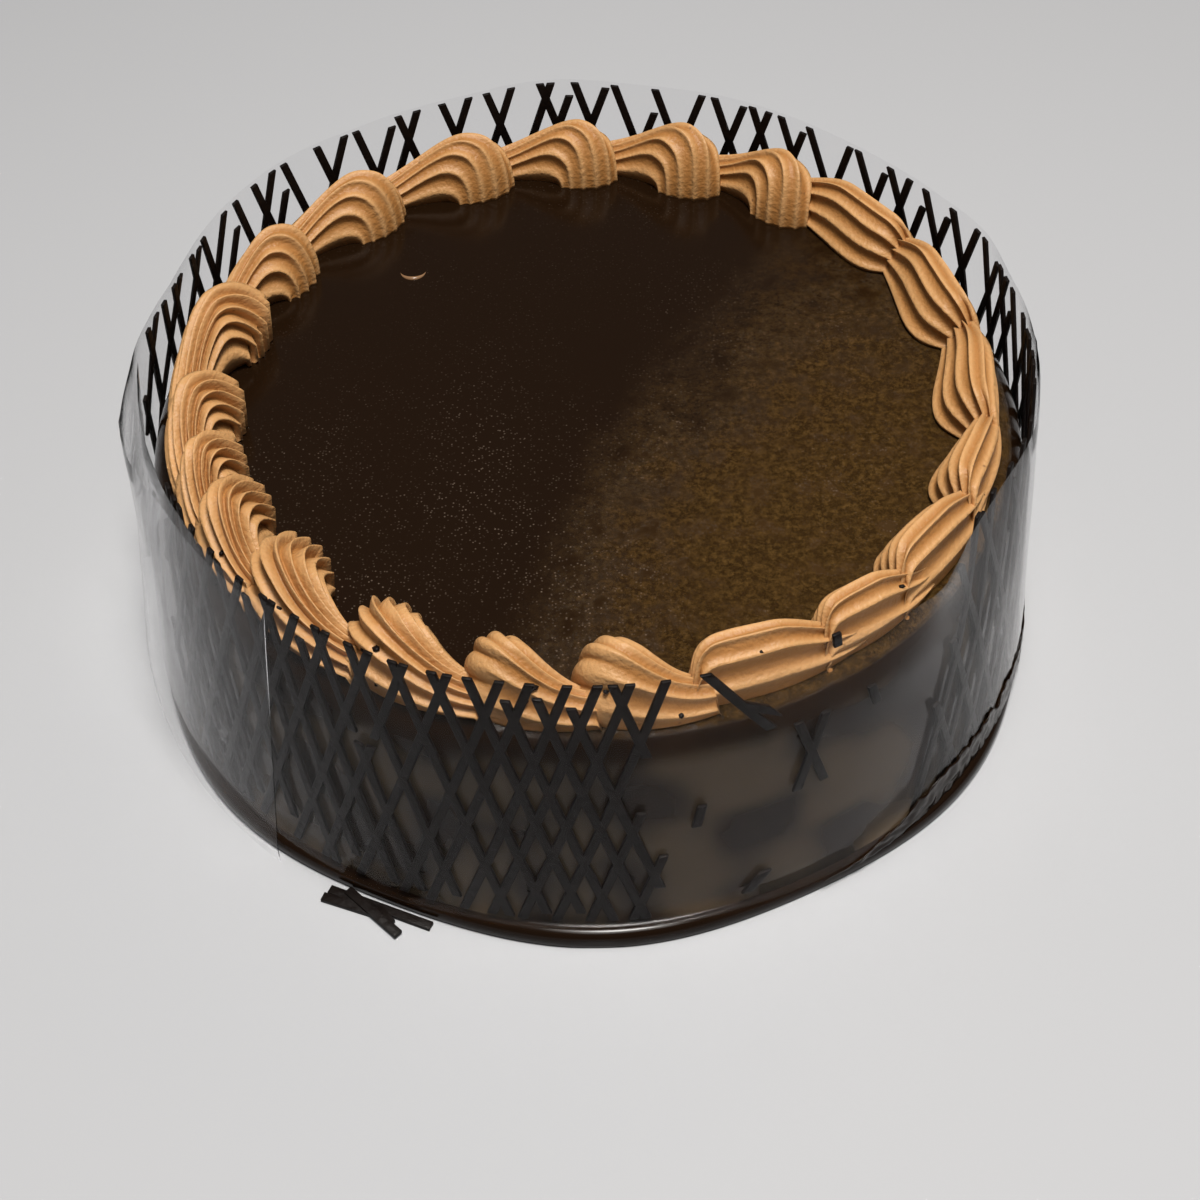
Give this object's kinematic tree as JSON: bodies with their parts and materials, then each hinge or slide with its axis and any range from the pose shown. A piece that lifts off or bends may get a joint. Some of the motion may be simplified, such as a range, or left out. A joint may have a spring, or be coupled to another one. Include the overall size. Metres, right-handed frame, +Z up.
{
  "type": "glazed chocolate cake",
  "caption": "Round cake under dark chocolate glaze with a ring of piped buttercream shells, in a clear film collar lined with a broken chocolate lattice.",
  "frame": {"origin": "middle of the bounding box at the cake's flat underside", "axes": "+Z up out of the cake's top, -Y towards the side that faces the viewer"},
  "size_m": [0.213, 0.2106, 0.0765],
  "materials": {
    "glaze": "gloss",
    "buttercream": "satin",
    "chocolate": "satin",
    "film": "clear gloss"
  },
  "bodies": {
    "root": {"cake_body": "glaze", "film_collar": "film", "lattice_chip_1": "chocolate", "lattice_chip_2": "chocolate", "lattice_chip_3": "chocolate", "lattice_chip_4": "chocolate", "lattice_chip_5": "chocolate", "lattice_chip_6": "chocolate", "lattice_fallen": "chocolate", "lattice_front": "chocolate", "lattice_main": "chocolate", "shell_1": "buttercream", "shell_10": "buttercream", "shell_11": "buttercream", "shell_12": "buttercream", "shell_13": "buttercream", "shell_14": "buttercream", "shell_15": "buttercream", "shell_16": "buttercream", "shell_17": "buttercream", "shell_18": "buttercream", "shell_19": "buttercream", "shell_2": "buttercream", "shell_20": "buttercream", "shell_21": "buttercream", "shell_3": "buttercream", "shell_4": "buttercream", "shell_5": "buttercream", "shell_6": "buttercream", "shell_7": "buttercream", "shell_8": "buttercream", "shell_9": "buttercream"}
  },
  "joints": []
}
